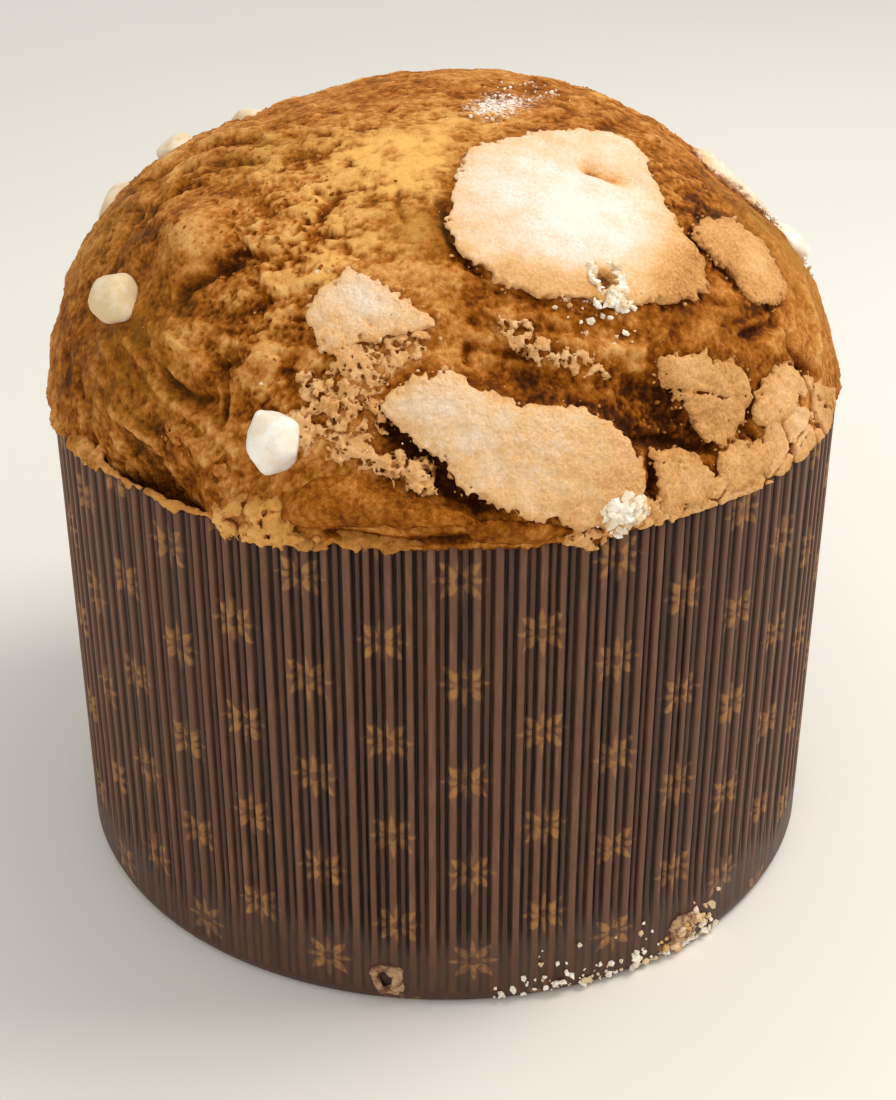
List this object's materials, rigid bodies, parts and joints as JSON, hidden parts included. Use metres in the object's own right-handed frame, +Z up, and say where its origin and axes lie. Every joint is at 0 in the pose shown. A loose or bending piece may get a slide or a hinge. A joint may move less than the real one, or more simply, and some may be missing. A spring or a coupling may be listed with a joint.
{
  "type": "panettone",
  "caption": "Tall domed sweet cake baked in a fluted paper mould, its browned top dressed with broken glaze plates and pearl sugar nuggets.",
  "frame": {"origin": "middle of the underside of the paper mould, on the surface it stands on", "axes": "+Z up through the dome, -Y towards the front, +X to the right as seen from the front"},
  "size_m": [0.1705, 0.1726, 0.1654],
  "materials": {
    "crust": "browned baked crust, matt to slightly satin",
    "glaze": "dry baked sugar and almond glaze, matt and grainy",
    "pearl_sugar": "opaque white pearl sugar, soft satin",
    "paper": "dark brown fluted baking paper with a scattered tan print, faint satin"
  },
  "bodies": {
    "root": {"paper_mould": "paper", "cake": "crust", "glaze_plate_top": "glaze", "glaze_plate_front": "glaze", "glaze_wedge_left": "glaze", "glaze_plate_right": "glaze", "glaze_plate_back_right": "glaze", "glaze_plate_back": "glaze", "glaze_plate_back_left": "glaze", "glaze_patch_high": "glaze", "glaze_patch_outer": "glaze", "glaze_patch_rim_left": "glaze", "glaze_patch_rim_right": "glaze", "sugar_nugget_left": "pearl_sugar", "sugar_nugget_front": "pearl_sugar", "sugar_nugget_back_left_top": "pearl_sugar", "sugar_nugget_back_left_high": "pearl_sugar", "sugar_nugget_back_left_low": "pearl_sugar", "sugar_nugget_back_right": "pearl_sugar", "sugar_nugget_back_mid": "pearl_sugar", "sugar_nugget_back_low": "pearl_sugar"}
  },
  "joints": []
}
